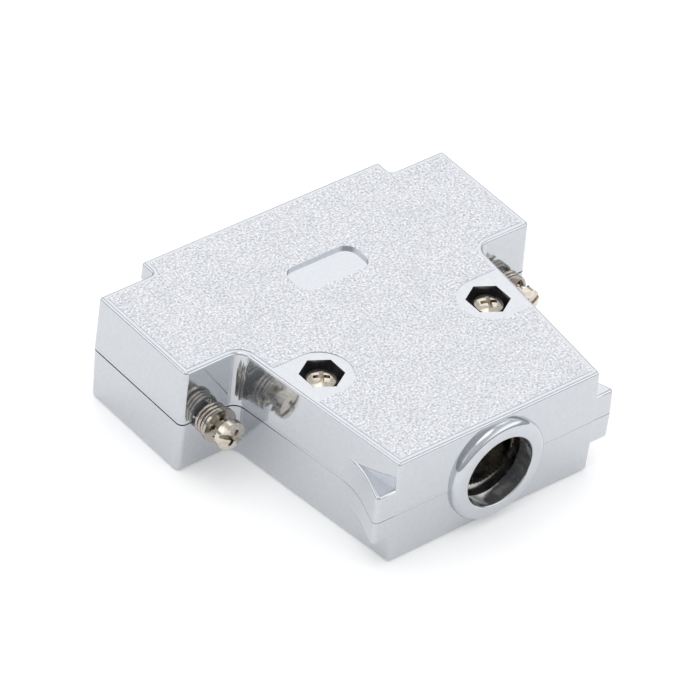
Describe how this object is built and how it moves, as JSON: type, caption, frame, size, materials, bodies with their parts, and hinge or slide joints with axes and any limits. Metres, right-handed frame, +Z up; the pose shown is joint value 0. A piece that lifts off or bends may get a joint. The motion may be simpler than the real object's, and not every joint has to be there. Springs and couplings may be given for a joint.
{
  "type": "d-sub connector hood",
  "caption": "Metal-finished straight hood for a D-sub connector: split case with finger grips, round rear cable entry, inner cable clamp and captive sprung jackscrews.",
  "frame": {"origin": "bottom centre of the whole part's box", "axes": "+X across the two wings, +Y towards the mating face, +Z up through the parting plane"},
  "size_m": [0.055, 0.049, 0.0159],
  "materials": {
    "plated_case": "bright nickel plate on a moulded case: mirror-like rims and sides, fine leather-like grain on the raised top and bottom panels",
    "turned_nickel": "nickel-plated turned steel, warm pale, smooth",
    "stamped_nickel": "nickel-plated stamped steel sheet, slightly brushed",
    "spring_steel": "plated spring steel, bright, lightly drawn"
  },
  "bodies": {
    "case": {"upper_case": "plated_case", "lower_case": "plated_case", "case_screw_left": "turned_nickel", "case_screw_right": "turned_nickel", "case_nut_left": "turned_nickel", "case_nut_right": "turned_nickel", "lower_saddle": "stamped_nickel", "upper_saddle": "stamped_nickel", "clamp_screw_left": "turned_nickel", "clamp_screw_right": "turned_nickel", "clamp_nut_left": "turned_nickel", "clamp_nut_right": "turned_nickel"},
    "carriage_left": {"outer_ring_left": "spring_steel", "inner_ring_left": "spring_steel", "spring_left": "spring_steel"},
    "screw_left": {"jackscrew_left": "turned_nickel"},
    "carriage_right": {"outer_ring_right": "spring_steel", "inner_ring_right": "spring_steel", "spring_right": "spring_steel"},
    "screw_right": {"jackscrew_right": "turned_nickel"}
  },
  "joints": [
    {"name": "push_left", "type": "slide", "parent": "case", "child": "carriage_left", "axis": [0, 1, 0], "range_m": [0, 0.0008], "stiffness_N_per_m": 150, "springref_m": -0.0003, "deforming": ["spring_left"]},
    {"name": "turn_left", "type": "hinge", "parent": "carriage_left", "child": "screw_left", "pos_m": [-0.02352, 0, 0.00793], "axis": [0, 1, 0], "continuous": true},
    {"name": "push_right", "type": "slide", "parent": "case", "child": "carriage_right", "axis": [0, 1, 0], "range_m": [0, 0.0008], "stiffness_N_per_m": 150, "springref_m": -0.0003, "deforming": ["spring_right"]},
    {"name": "turn_right", "type": "hinge", "parent": "carriage_right", "child": "screw_right", "pos_m": [0.02352, 0, 0.00793], "axis": [0, 1, 0], "continuous": true}
  ]
}
